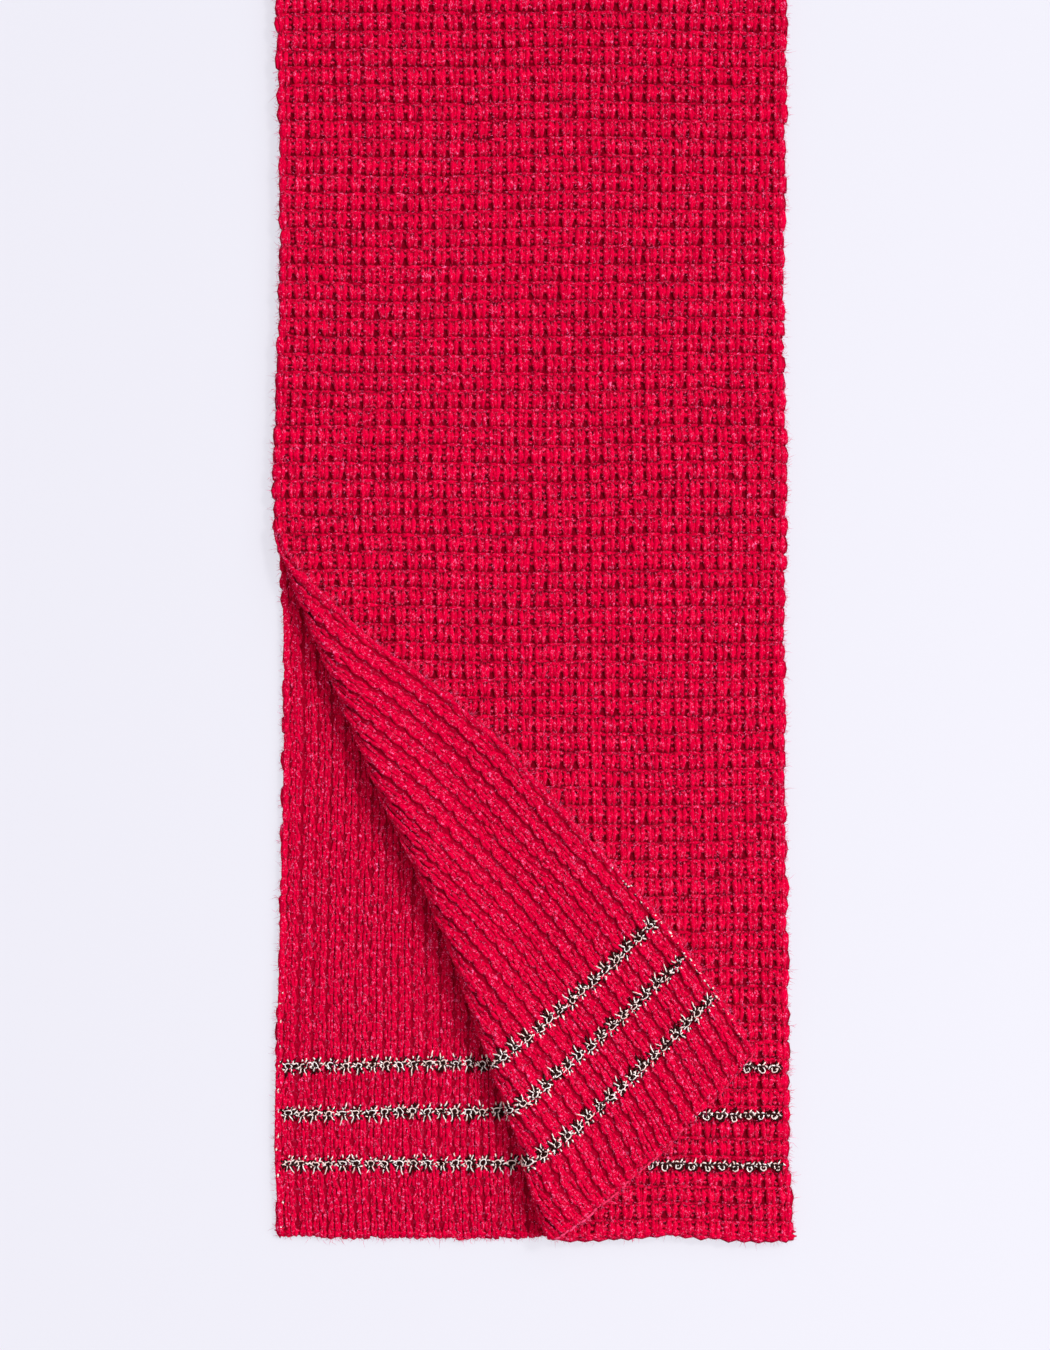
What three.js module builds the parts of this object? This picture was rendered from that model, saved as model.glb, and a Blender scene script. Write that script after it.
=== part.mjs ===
import * as THREE from 'three';

// A knit scarf, folded crosswise in half and laid flat, with the free corner of its
// upper half rolled back over itself. Millimetres. X runs across the scarf, Y runs up its
// length towards the crosswise fold, Z is up, and the surface it lies on is Z = 0.

const SCARF = {
  width: 231,
  halfLength: 900,
  cloth: 4.5,
  seam: 0.3,
};
const HALF_CLOTH = SCARF.cloth / 2;
const HEM_Y = -SCARF.halfLength / 2;
const FOLD_Y = SCARF.halfLength / 2;
const LOWER_MID = HALF_CLOTH;
const UPPER_MID = LOWER_MID + SCARF.cloth + SCARF.seam;
const LAYER_STEP = SCARF.cloth + SCARF.seam;

// The knitted side edges wander a little: a row for each level up the scarf.
const SIDES = [
  { y: -450, left: -115.4, right: 117.5 },
  { y: -440, left: -115.8, right: 117.3 },
  { y: -405, left: -117.2, right: 115.6 },
  { y: -330, left: -115.4, right: 115.0 },
  { y: -240, left: -113.2, right: 113.8 },
  { y: -160, left: -113.6, right: 113.6 },
  { y: -108, left: -117.5, right: 114.6 },
  { y: -40, left: -115.0, right: 113.0 },
  { y: 30, left: -114.4, right: 113.6 },
  { y: 110, left: -115.9, right: 114.6 },
  { y: 220, left: -114.6, right: 115.2 },
  { y: 330, left: -116.0, right: 114.2 },
  { y: 450, left: -115.2, right: 115.6 },
];

// The crease of the turned corner starts at the left edge and runs down to the hem.
const CREASE = {
  x: -110.2,
  y: -144.7,
  lean: THREE.MathUtils.degToRad(21.4),
};

// Stations down the crease, from its upper end. bow is how far the crease swings to the
// right, roll is the radius of the turn, and the cloth is stretched across from a point
// at the distance pulled right of the crease, in the proportion stretch.
const STATIONS = [
  { along: -30, bow: 0.0, roll: 2.8, pulled: 9, stretch: 1.0 },
  { along: 0, bow: 0.0, roll: 3.3, pulled: 10, stretch: 1.1 },
  { along: 15, bow: 0.0, roll: 3.6, pulled: 14, stretch: 1.15 },
  { along: 45, bow: 0.2, roll: 4.3, pulled: 27, stretch: 1.13 },
  { along: 75, bow: 1.1, roll: 4.9, pulled: 45, stretch: 1.16 },
  { along: 107, bow: 1.6, roll: 5.3, pulled: 60, stretch: 1.15 },
  { along: 148, bow: 4.6, roll: 5.5, pulled: 60, stretch: 1.07 },
  { along: 190, bow: 5.7, roll: 5.6, pulled: 50, stretch: 1.04 },
  { along: 232, bow: 4.2, roll: 5.2, pulled: 30, stretch: 1.03 },
  { along: 283, bow: 2.4, roll: 4.7, pulled: 9, stretch: 1.0 },
  { along: 308, bow: -0.6, roll: 4.4, pulled: 9, stretch: 1.0 },
  { along: 330, bow: -0.6, roll: 4.2, pulled: 9, stretch: 1.0 },
];

// How the turned cloth lies: the run in which it settles from the roll, how far its own
// piece reaches under the roll, and how its rows sag down the crease, most of all at the
// hem. Its grid grows coarser away from the roll and from its narrow upper end.
const TURN = {
  settle: 32,
  underlap: 8.5,
  sag: 2.4,
  hemSag: 3.6,
  hemSagFade: 35,
  firstRowWidth: 3,
  easedBelow: 20,
  rows: 36,
  firstRow: 5,
  columns: 22,
  firstColumn: 2.3,
};

// The soft bend at the far end: its radius, and where each layer meets it.
const BEND = {
  radius: 4.6,
  lowerY: 425,
  upperY: 408,
  arcSteps: 8,
  slopeSteps: 6,
};

// Rows of thick metallic stitches above each hem, by their height above it.
const STRIPES = [
  { name: 'top', above: 78.9 },
  { name: 'middle', above: 57.4 },
  { name: 'bottom', above: 34.3 },
];
const STRIPE = {
  gap: 0.45,
  height: 5,
  thick: 0.8,
  inset: 1.5,
  lowestAt: -2,
  crownAt: 10,
  settledAt: 42,
};

// The free edges of the cloth are eased off on its outer side, and the flat layers have a
// row of points this often.
const EDGE = { ease: 1.2, depth: 1.5, second: 14 };
const FLAT_ROW_STEP = 18;

// How far each side of the crease a point on a cloth row is looked for.
const SEARCH = { right: 60, left: 20 };

const COLOURS = { knit: 0xc4103a, metal: 0xb9a98c };
const knitYarn = new THREE.MeshStandardMaterial({
  color: COLOURS.knit,
  roughness: 0.9,
  metalness: 0,
});
const metallicYarn = new THREE.MeshStandardMaterial({
  color: COLOURS.metal,
  roughness: 0.4,
  metalness: 0.7,
});

// A smooth value between the rows of a table.
function between(table, column, key, at) {
  const last = table.length - 1;
  let i = 0;
  while (i < last - 1 && table[i + 1][column] < at) {
    i += 1;
  }
  const [before, from, to, after] = [i - 1, i, i + 1, i + 2].map(
    (n) => table[THREE.MathUtils.clamp(n, 0, last)],
  );
  const span = to[column] - from[column];
  const t = THREE.MathUtils.clamp((at - from[column]) / span, 0, 1);
  const slope = (a, b) => (span * (b[key] - a[key])) / (b[column] - a[column]);
  const [leave, arrive] = [slope(before, to), slope(from, after)];
  return (
    (2 * t ** 3 - 3 * t ** 2 + 1) * from[key] +
    (t ** 3 - 2 * t ** 2 + t) * leave +
    (-2 * t ** 3 + 3 * t ** 2) * to[key] +
    (t ** 3 - t ** 2) * arrive
  );
}

const sideAt = (key, y) => between(SIDES, 'y', key, y);
const stationAt = (key, along) => between(STATIONS, 'along', key, along);
const smooth = (t) => t * t * (3 - 2 * t);

// A point of the flat cloth as distances along the crease and across it to the right.
function toCrease(x, y) {
  const dx = x - CREASE.x;
  const down = CREASE.y - y;
  return {
    along: Math.sin(CREASE.lean) * dx + Math.cos(CREASE.lean) * down,
    across: Math.cos(CREASE.lean) * dx - Math.sin(CREASE.lean) * down,
  };
}

function fromCrease(along, across, z) {
  return new THREE.Vector3(
    CREASE.x + Math.sin(CREASE.lean) * along + Math.cos(CREASE.lean) * across,
    CREASE.y - Math.cos(CREASE.lean) * along + Math.sin(CREASE.lean) * across,
    z,
  );
}

// The section of the turn, by the length of cloth past its outermost point: a half round
// that settles on the layer below. across is measured from the outermost point.
function turnSection(past, roll) {
  const quarter = (Math.PI / 2) * roll;
  if (past <= -quarter) {
    return { across: roll - (past + quarter), up: 0 };
  }
  if (past <= quarter) {
    const angle = past / roll;
    return { across: roll * (1 - Math.cos(angle)), up: roll * (1 + Math.sin(angle)) };
  }
  const run = past - quarter;
  const settled = smooth(Math.min(run / TURN.settle, 1));
  return {
    across: roll + run,
    up: THREE.MathUtils.lerp(2 * roll, LAYER_STEP, settled),
  };
}

// The length of laid cloth from the turn's outermost point to a point of the flat cloth.
function pastTurn(along, across) {
  const roll = stationAt('roll', along);
  const pulled = stationAt('pulled', along);
  const cloth = Math.max(0, stationAt('bow', along) + pulled - across);
  return cloth * stationAt('stretch', along) - (pulled - roll) - (Math.PI / 2) * roll;
}

// The width of cloth that is turned over at a station of the crease.
function turnedWidth(along, bow) {
  const edgeGap = (SCARF.width / 2 + CREASE.x) / Math.cos(CREASE.lean);
  return Math.max(1, bow + edgeGap + Math.tan(CREASE.lean) * along);
}

// Where a point of the upper layer lies, for its place on the flat cloth.
function turnedPoint(x, y) {
  const { along, across } = toCrease(x, y);
  const bow = stationAt('bow', along);
  const pulled = stationAt('pulled', along);
  const past = pastTurn(along, across);
  const section = turnSection(past, stationAt('roll', along));
  const flat = Math.max(0, across - bow - pulled);
  const turned = THREE.MathUtils.clamp(past / turnedWidth(along, bow), 0, 1);
  const sag = TURN.sag + TURN.hemSag * Math.exp((HEM_Y - y) / TURN.hemSagFade);
  const slip = sag * Math.sin(Math.PI * turned ** 0.7);
  return fromCrease(along + slip, bow + section.across + flat, UPPER_MID + section.up);
}

// How far right of the turn's outermost point a point of the flat cloth ends up, while it
// is still under the turn.
function underReach(x, y) {
  const { along } = toCrease(x, y);
  const laid = turnedPoint(x, y);
  return toCrease(laid.x, laid.y).across - stationAt('bow', along);
}

function bisect(low, high, isLow) {
  let [a, b] = [low, high];
  for (let step = 0; step < 40; step += 1) {
    const middle = (a + b) / 2;
    if (isLow(middle)) {
      a = middle;
    } else {
      b = middle;
    }
  }
  return a;
}

// A stretch of a cloth row that holds the crease and the cloth just under the turn.
function searchSpan(y) {
  const onCrease = CREASE.x + Math.tan(CREASE.lean) * (CREASE.y - y);
  return { right: onCrease + SEARCH.right, left: onCrease - SEARCH.left };
}

// The flat X at which a cloth row passes under the turn, at the piece's own boundary.
function turnStart(y) {
  const reach = TURN.underlap - SCARF.seam / 2;
  const { right, left } = searchSpan(y);
  return bisect(right, left, (x) => underReach(x, y) > reach);
}

// The same boundary for the flat upper layer, a seam's width further right.
function underX(y) {
  const reach = TURN.underlap + SCARF.seam / 2;
  const { right, left } = searchSpan(y);
  return bisect(right, left, (x) => {
    const { along, across } = toCrease(x, y);
    return across - stationAt('bow', along) > reach;
  });
}

// The highest row of the turned piece, where it is still a narrow strip of the edge.
const TURN_TOP_Y = bisect(
  CREASE.y,
  CREASE.y + SEARCH.right,
  (y) => turnStart(y) - sideAt('left', y) > TURN.firstRowWidth,
);

function evenSteps(from, to, count) {
  return Array.from({ length: count + 1 }, (_, i) => from + ((to - from) * i) / count);
}

// Fractions of a length that start with a small step and grow.
function gradedSteps(length, count, firstStep) {
  if (length <= firstStep * count) {
    return evenSteps(0, 1, count);
  }
  const growth = bisect(
    1e-4,
    12,
    (g) => (length * Math.expm1(g / count)) / Math.expm1(g) > firstStep,
  );
  return evenSteps(0, 1, count).map((t) => Math.expm1(growth * t) / Math.expm1(growth));
}

// A closed wall through a grid of middle points: top and underside along the normals, and
// its free edges eased off. grid[i][j] is { point, normal, above, below }.
function wallGeometry(grid) {
  const rows = grid.length;
  const columns = grid[0].length;
  const positions = [];
  const index = [];
  for (const side of ['above', 'below']) {
    for (const row of grid) {
      for (const cell of row) {
        const offset = side === 'above' ? cell.above : -cell.below;
        const p = cell.point.clone().addScaledVector(cell.normal, offset);
        positions.push(p.x, p.y, p.z);
      }
    }
  }
  const top = (i, j) => i * columns + j;
  const bottom = (i, j) => rows * columns + i * columns + j;
  const quad = (a, b, c, d) => index.push(a, b, c, a, c, d);
  for (let i = 0; i < rows - 1; i += 1) {
    for (let j = 0; j < columns - 1; j += 1) {
      quad(top(i, j), top(i, j + 1), top(i + 1, j + 1), top(i + 1, j));
      quad(bottom(i, j), bottom(i + 1, j), bottom(i + 1, j + 1), bottom(i, j + 1));
    }
  }
  for (let j = 0; j < columns - 1; j += 1) {
    quad(top(0, j), bottom(0, j), bottom(0, j + 1), top(0, j + 1));
    const end = rows - 1;
    quad(top(end, j + 1), bottom(end, j + 1), bottom(end, j), top(end, j));
  }
  for (let i = 0; i < rows - 1; i += 1) {
    quad(top(i + 1, 0), bottom(i + 1, 0), bottom(i, 0), top(i, 0));
    const end = columns - 1;
    quad(top(i, end), bottom(i, end), bottom(i + 1, end), top(i + 1, end));
  }
  const geometry = new THREE.BufferGeometry();
  geometry.setAttribute('position', new THREE.Float32BufferAttribute(positions, 3));
  geometry.setIndex(index);
  geometry.computeVertexNormals();
  return geometry;
}

function piece(name, geometry, material) {
  const mesh = new THREE.Mesh(geometry, material);
  mesh.name = name;
  return mesh;
}

// The wall's half thickness above and below, eased at a free edge.
function wallCell(point, normal, isEdge) {
  const above = isEdge ? HALF_CLOTH - EDGE.depth : HALF_CLOTH;
  return { point, normal, above, below: HALF_CLOTH };
}

const UP = new THREE.Vector3(0, 0, 1);

// A flat layer between two levels of the scarf's length, with its own left boundary.
function flatLayer(levels, leftAt, mid, hasFreeLeft) {
  const grid = levels.map(({ y, isHem }) => {
    const left = leftAt(y);
    const right = sideAt('right', y);
    const xs = [left, left + EDGE.ease, left + EDGE.second, (left + right) / 2];
    xs.push(right - EDGE.second, right - EDGE.ease, right);
    return xs.map((x, j) => {
      const isLeftEdge = j === 0 && hasFreeLeft(y);
      const isEdge = isHem || isLeftEdge || j === xs.length - 1;
      return wallCell(new THREE.Vector3(x, y, mid), UP, isEdge);
    });
  });
  return wallGeometry(grid);
}

function levelsBetween(from, to) {
  const count = Math.ceil((to - from) / FLAT_ROW_STEP);
  return evenSteps(from, to, count).map((y) => ({ y, isHem: false }));
}

const hemLevels = [
  { y: HEM_Y, isHem: true },
  { y: HEM_Y + EDGE.ease, isHem: false },
];
const FIRST_LEVEL = HEM_Y + EDGE.second;

function lowerHalf() {
  const levels = [...hemLevels, ...levelsBetween(FIRST_LEVEL, BEND.lowerY)];
  return flatLayer(levels, (y) => sideAt('left', y), LOWER_MID, () => true);
}

function upperHalf() {
  const notch = TURN_TOP_Y + SCARF.seam;
  const levels = [
    ...hemLevels,
    ...levelsBetween(FIRST_LEVEL, notch),
    ...levelsBetween(notch + SCARF.seam, BEND.upperY),
  ];
  const isOpen = (y) => y > notch + SCARF.seam / 2;
  const leftAt = (y) => (isOpen(y) ? sideAt('left', y) : underX(y));
  return flatLayer(levels, leftAt, UPPER_MID, isOpen);
}

// The section of the far bend, from the lower layer round to the upper one.
function bendSection() {
  const turnY = FOLD_Y - HALF_CLOTH - BEND.radius;
  const lower = LOWER_MID;
  const top = lower + 2 * BEND.radius;
  const start = BEND.lowerY + SCARF.seam;
  const section = [new THREE.Vector2(start, lower), new THREE.Vector2((start + turnY) / 2, lower)];
  for (const angle of evenSteps(-Math.PI / 2, Math.PI / 2, BEND.arcSteps)) {
    section.push(
      new THREE.Vector2(
        turnY + BEND.radius * Math.cos(angle),
        lower + BEND.radius * (1 + Math.sin(angle)),
      ),
    );
  }
  const end = BEND.upperY + SCARF.seam;
  for (const t of evenSteps(0, 1, BEND.slopeSteps).slice(1)) {
    section.push(
      new THREE.Vector2(
        THREE.MathUtils.lerp(turnY, end, t),
        THREE.MathUtils.lerp(top, UPPER_MID, smooth(t)),
      ),
    );
  }
  return section;
}

function crosswiseFold() {
  const section = bendSection();
  const grid = section.map((at, i) => {
    const next = section[Math.min(i + 1, section.length - 1)];
    const previous = section[Math.max(i - 1, 0)];
    const way = next.clone().sub(previous).normalize();
    const isEnd = i === 0 || i === section.length - 1;
    const outwards = isEnd
      ? new THREE.Vector3(0, 0, i === 0 ? -1 : 1)
      : new THREE.Vector3(0, way.y, -way.x);
    const left = sideAt('left', at.x);
    const right = sideAt('right', at.x);
    const xs = [right, right - EDGE.ease, (left + right) / 2, left + EDGE.ease, left];
    return xs.map((x, j) => {
      const isEdge = j === 0 || j === xs.length - 1;
      const cell = wallCell(new THREE.Vector3(x, at.x, at.y), outwards, false);
      return isEdge ? { ...cell, above: HALF_CLOTH - EDGE.depth / 2 } : cell;
    });
  });
  return wallGeometry(grid);
}

// The outward side of the turned cloth, from two small steps on the flat cloth.
function turnedNormal(x, y) {
  const step = 0.05;
  const across = turnedPoint(x - step, y).sub(turnedPoint(x + step, y));
  const down = turnedPoint(x, y - step).sub(turnedPoint(x, y + step));
  return across.cross(down).normalize().negate();
}

// The flat X of a point on a row whose laid place is a given length past the turn.
function flatXAt(y, past) {
  return bisect(searchSpan(y).right, sideAt('left', y), (x) => {
    const { along, across } = toCrease(x, y);
    return pastTurn(along, across) < past;
  });
}

function turnedCorner() {
  const span = TURN_TOP_Y - HEM_Y;
  const rowSteps = gradedSteps(span, TURN.rows, TURN.firstRow);
  const levels = rowSteps.map((t) => TURN_TOP_Y - span * t);
  const ys = [HEM_Y, HEM_Y + EDGE.ease, ...levels.slice(0, -1).reverse()];
  const grid = ys.map((y) => {
    const start = turnStart(y);
    const left = sideAt('left', y);
    const inside = left + Math.min(EDGE.ease, (start - left) / 4);
    const steps = gradedSteps(start - inside, TURN.columns, TURN.firstColumn);
    const xs = [...steps.map((t) => start + (inside - start) * t), left];
    return xs.map((x, j) => {
      const isSideEdge = j === xs.length - 1 && y < TURN_TOP_Y - TURN.easedBelow;
      const isEdge = y === HEM_Y || isSideEdge;
      return wallCell(turnedPoint(x, y), turnedNormal(x, y), isEdge);
    });
  });
  return wallGeometry(grid);
}

// A raised row of stitches along a cloth row, made from the points of what it lies on.
// spans(level) gives the stretches of the row as { from, to, steps }.
function stripeBand(y, spans, surface) {
  const lift = HALF_CLOTH + STRIPE.gap;
  const grid = [y - STRIPE.height / 2, y + STRIPE.height / 2].map((level) => {
    const stretches = spans(level).map(({ from, to, steps }) => evenSteps(from, to, steps));
    const xs = stretches.flatMap((stretch, i) => (i === 0 ? stretch : stretch.slice(1)));
    return xs.map((x) => {
      const { point, normal } = surface(x, level);
      return { point, normal, above: lift + STRIPE.thick, below: -lift };
    });
  });
  return wallGeometry(grid);
}

const flatSurface = (mid) => (x, y) => ({ point: new THREE.Vector3(x, y, mid), normal: UP });
const turnedSurface = (x, y) => ({ point: turnedPoint(x, y), normal: turnedNormal(x, y) });

// The lower layer's stripes show from the left edge to the turn.
function lowerStripe(y) {
  const spans = (level) => {
    const outermost = turnedPoint(flatXAt(level, 0), level);
    const to = outermost.x - HALF_CLOTH - STRIPE.inset;
    return [{ from: sideAt('left', level) + STRIPE.inset, to, steps: 2 }];
  };
  return stripeBand(y, spans, flatSurface(LOWER_MID));
}

// The turned corner's stripes run from low on the roll to its free edge.
function turnedStripe(y) {
  const spans = (level) => {
    const crown = flatXAt(level, STRIPE.crownAt);
    const settled = flatXAt(level, STRIPE.settledAt);
    return [
      { from: flatXAt(level, STRIPE.lowestAt), to: crown, steps: 8 },
      { from: crown, to: settled, steps: 10 },
      { from: settled, to: sideAt('left', level) + STRIPE.inset, steps: 3 },
    ];
  };
  return stripeBand(y, spans, turnedSurface);
}

// Where the turned corner's free edges pass over a level of the upper layer.
function coveredTo(y) {
  const side = evenSteps(TURN_TOP_Y, HEM_Y, 80).map((level) =>
    turnedPoint(sideAt('left', level), level),
  );
  const hem = evenSteps(sideAt('left', HEM_Y), turnStart(HEM_Y), 60).map((x) =>
    turnedPoint(x, HEM_Y),
  );
  const near = [...side, ...hem].filter((p) => Math.abs(p.y - y) < STRIPE.height);
  return Math.max(...near.map((p) => p.x));
}

// The upper layer's stripes show from the turned corner's edge to the right edge.
function upperStripe(y) {
  const from = coveredTo(y) + STRIPE.inset;
  const spans = (level) => [{ from, to: sideAt('right', level) - STRIPE.inset, steps: 2 }];
  return stripeBand(y, spans, flatSurface(UPPER_MID));
}

const scarf = new THREE.Group();
scarf.add(
  piece('lower_half', lowerHalf(), knitYarn),
  piece('crosswise_fold', crosswiseFold(), knitYarn),
  piece('upper_half', upperHalf(), knitYarn),
  piece('turned_corner', turnedCorner(), knitYarn),
);
for (const { name, above } of STRIPES) {
  const y = HEM_Y + above;
  scarf.add(
    piece(`lower_stripe_${name}`, lowerStripe(y), metallicYarn),
    piece(`turned_stripe_${name}`, turnedStripe(y), metallicYarn),
    piece(`upper_stripe_${name}`, upperStripe(y), metallicYarn),
  );
}

export default scarf;
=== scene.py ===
"""A knit scarf: waffle face, ribbed reverse and rows of metallic yarn near its hems, folded
crosswise in half and laid flat, with one corner of the upper half rolled back."""

import math

import bpy
import numpy as np
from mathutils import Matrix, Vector


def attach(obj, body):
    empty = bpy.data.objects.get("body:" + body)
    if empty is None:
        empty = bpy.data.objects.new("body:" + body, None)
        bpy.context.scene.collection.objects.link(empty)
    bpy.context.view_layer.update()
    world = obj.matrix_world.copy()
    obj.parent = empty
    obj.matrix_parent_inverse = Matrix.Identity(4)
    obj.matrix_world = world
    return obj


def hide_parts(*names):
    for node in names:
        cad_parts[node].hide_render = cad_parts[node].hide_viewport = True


bl_info = {
    "name": "Knit Scarf",
    "version": (1, 0, 0),
    "blender": (4, 5, 0),
    "location": "View3D > Sidebar > Scarf",
    "description": "Dresses the folded scarf with its stitches, yarns and edges",
    "category": "Add Mesh",
}

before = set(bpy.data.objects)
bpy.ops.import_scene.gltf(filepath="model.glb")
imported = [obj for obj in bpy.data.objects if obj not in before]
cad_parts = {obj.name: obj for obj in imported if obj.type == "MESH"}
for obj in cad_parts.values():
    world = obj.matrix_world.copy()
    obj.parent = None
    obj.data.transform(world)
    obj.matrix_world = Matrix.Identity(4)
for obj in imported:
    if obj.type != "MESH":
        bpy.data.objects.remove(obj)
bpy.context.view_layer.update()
bpy.ops.object.select_all(action="DESELECT")

MM = 0.001
BODY = "root"
KNIT_SLOT = "knit_red"
METAL_SLOT = "metallic_yarn"

# The folded scarf's own sizes, in millimetres: X across, Y up its length, Z up.
CLOTH = 4.5
HALF_CLOTH = CLOTH / 2
SEAM = 0.3
HEM_Y = -450.0
FOLD_Y = 450.0
LOWER_MID = HALF_CLOTH
UPPER_MID = LOWER_MID + CLOTH + SEAM
LAYER_STEP = CLOTH + SEAM


def table(columns, *rows):
    """The columns of a table by name, as arrays."""
    return dict(zip(columns.split(), np.array(rows, float).T))


# Both selvedges as seen from above, at places up the scarf.
SIDES = table(
    "y left right",
    (-450, -115.4, 117.5),
    (-440, -115.8, 117.3),
    (-405, -117.2, 115.6),
    (-330, -115.4, 115.0),
    (-240, -113.2, 113.8),
    (-160, -113.6, 113.6),
    (-108, -117.5, 114.6),
    (-40, -115.0, 113.0),
    (30, -114.4, 113.6),
    (110, -115.9, 114.6),
    (220, -114.6, 115.2),
    (330, -116.0, 114.2),
    (450, -115.2, 115.6),
)

# The crease of the turned corner, and stations down it from its upper end: how far it bows
# out, the radius of its roll, the width of cloth pulled into it, and how slack that is.
CREASE_X = -110.2
CREASE_Y = -144.7
CREASE_LEAN = math.radians(21.4)
STATIONS = table(
    "along bow roll pulled stretch",
    (-30, 0.0, 2.8, 9, 1.0),
    (0, 0.0, 3.3, 10, 1.1),
    (15, 0.0, 3.6, 14, 1.15),
    (45, 0.2, 4.3, 27, 1.13),
    (75, 1.1, 4.9, 45, 1.16),
    (107, 1.6, 5.3, 60, 1.15),
    (148, 4.6, 5.5, 60, 1.07),
    (190, 5.7, 5.6, 50, 1.04),
    (232, 4.2, 5.2, 30, 1.03),
    (283, 2.4, 4.7, 9, 1.0),
    (308, -0.6, 4.4, 9, 1.0),
    (330, -0.6, 4.2, 9, 1.0),
)
CREASE_START = STATIONS["along"][0]
SETTLE = 32.0
SAG = 2.4
HEM_SAG = 3.6
HEM_SAG_FADE = 35.0
SAG_EASE = 0.7
TURN_TOP_Y = -111.0
LEFT_EDGE = -115.5

# The soft bend at the far end.
BEND_RADIUS = 4.6
BEND_LOWER_Y = 425.0
BEND_UPPER_Y = 408.0

# The knit: blocks and wales across, the pitch of its rows, and how far its metallic rows sink.
BLOCKS_ACROSS = 36
WALES_ACROSS = 72
ROW_PITCH = 8.12
METAL_HEIGHT = 6.0
METAL_SINK = 0.5
METAL_PITCH = 6.3
EDGE_INSET = 1.0

# The metallic rows: the level of each above a hem, and how many plain rows are under it.
METAL_ROWS = ((34.3, 4), (57.4, 2), (78.9, 2))


def between(rows, column, key, at):
    """A smooth value between the rows of a table, for an array of places."""
    xs, ys = rows[column], rows[key]
    at = np.clip(at, xs[0], xs[-1])
    i = np.clip(np.searchsorted(xs, at, side="right") - 1, 0, len(xs) - 2)
    before = np.maximum(i - 1, 0)
    after = np.minimum(i + 2, len(xs) - 1)
    span = xs[i + 1] - xs[i]
    t = (at - xs[i]) / span
    leave = span * (ys[i + 1] - ys[before]) / (xs[i + 1] - xs[before])
    arrive = span * (ys[after] - ys[i]) / (xs[after] - xs[i])
    return (
        (2 * t**3 - 3 * t**2 + 1) * ys[i]
        + (t**3 - 2 * t**2 + t) * leave
        + (-2 * t**3 + 3 * t**2) * ys[i + 1]
        + (t**3 - t**2) * arrive
    )


def side_at(key, y):
    return between(SIDES, "y", key, y)


def station_at(key, along):
    return between(STATIONS, "along", key, along)


def smooth(t):
    t = np.clip(t, 0, 1)
    return t * t * (3 - 2 * t)


def xyz(x, y, z):
    """Points or sizes from their three parts, each an array or a single value."""
    return np.stack(np.broadcast_arrays(x, y, z), axis=-1)


def unit(vectors):
    return vectors / np.maximum(np.linalg.norm(vectors, axis=-1, keepdims=True), 1e-9)


def middles(count):
    """The middles of equal parts of a length of one."""
    return (np.arange(count) + 0.5) / count


def to_crease(x, y):
    """Distances along the crease and across it to the right, of points seen from above."""
    dx = x - CREASE_X
    down = CREASE_Y - y
    along = math.sin(CREASE_LEAN) * dx + math.cos(CREASE_LEAN) * down
    across = math.cos(CREASE_LEAN) * dx - math.sin(CREASE_LEAN) * down
    return along, across


def past_turn(along, across):
    """The length of laid cloth from the turn's outermost point to points of flat cloth."""
    roll = station_at("roll", along)
    pulled = station_at("pulled", along)
    cloth = np.maximum(0, station_at("bow", along) + pulled - across)
    return cloth * station_at("stretch", along) - (pulled - roll) - math.pi / 2 * roll


def turned_width(along, bow):
    """The length of cloth from the crease to the turned selvedge, down the crease."""
    edge_gap = (CREASE_X - LEFT_EDGE) / math.cos(CREASE_LEAN)
    return np.maximum(1, bow + edge_gap + math.tan(CREASE_LEAN) * along)


def turned_point(x, y):
    """Where points of the upper layer lie, for their places on the flat cloth."""
    along, across = to_crease(x, y)
    bow = station_at("bow", along)
    roll = station_at("roll", along)
    pulled = station_at("pulled", along)
    past = past_turn(along, across)
    quarter = math.pi / 2 * roll
    angle = np.clip(past / roll, -math.pi / 2, math.pi / 2)
    run = np.maximum(0, past - quarter)
    settled = smooth(run / SETTLE)
    up = roll * (1 + np.sin(angle)) + (LAYER_STEP - 2 * roll) * settled
    reach = roll * (1 - np.cos(angle)) + run + np.maximum(0, -quarter - past)
    flat = np.maximum(0, across - bow - pulled)
    turned = np.clip(past / turned_width(along, bow), 0, 1)
    sag = SAG + HEM_SAG * np.exp((HEM_Y - y) / HEM_SAG_FADE)
    s = along + sag * np.sin(math.pi * turned**SAG_EASE)
    n = bow + reach + flat
    px = CREASE_X + math.sin(CREASE_LEAN) * s + math.cos(CREASE_LEAN) * n
    py = CREASE_Y - math.cos(CREASE_LEAN) * s + math.sin(CREASE_LEAN) * n
    is_flat = (along < CREASE_START)[..., None]
    return np.where(is_flat, xyz(x, y, UPPER_MID), xyz(px, py, UPPER_MID + up))


def bend_path():
    """The far bend's section as Y and Z at even lengths of cloth past its upper end."""
    turn_y = FOLD_Y - HALF_CLOTH - BEND_RADIUS
    top = LOWER_MID + 2 * BEND_RADIUS
    slope = np.linspace(0, 1, 40)
    ys = list(BEND_UPPER_Y + (turn_y - BEND_UPPER_Y) * slope)
    zs = list(UPPER_MID + (top - UPPER_MID) * smooth(slope))
    for angle in np.linspace(math.pi / 2, -math.pi / 2, 40)[1:]:
        ys.append(turn_y + BEND_RADIUS * math.cos(angle))
        zs.append(LOWER_MID + BEND_RADIUS * (1 + math.sin(angle)))
    ys.append(BEND_LOWER_Y)
    zs.append(LOWER_MID)
    length = np.concatenate([[0], np.cumsum(np.hypot(np.diff(ys), np.diff(zs)))])
    return length, np.array(ys), np.array(zs)


BEND_LENGTH, BEND_YS, BEND_ZS = bend_path()
CLOTH_END_Y = BEND_UPPER_Y + BEND_LENGTH[-1]


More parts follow.
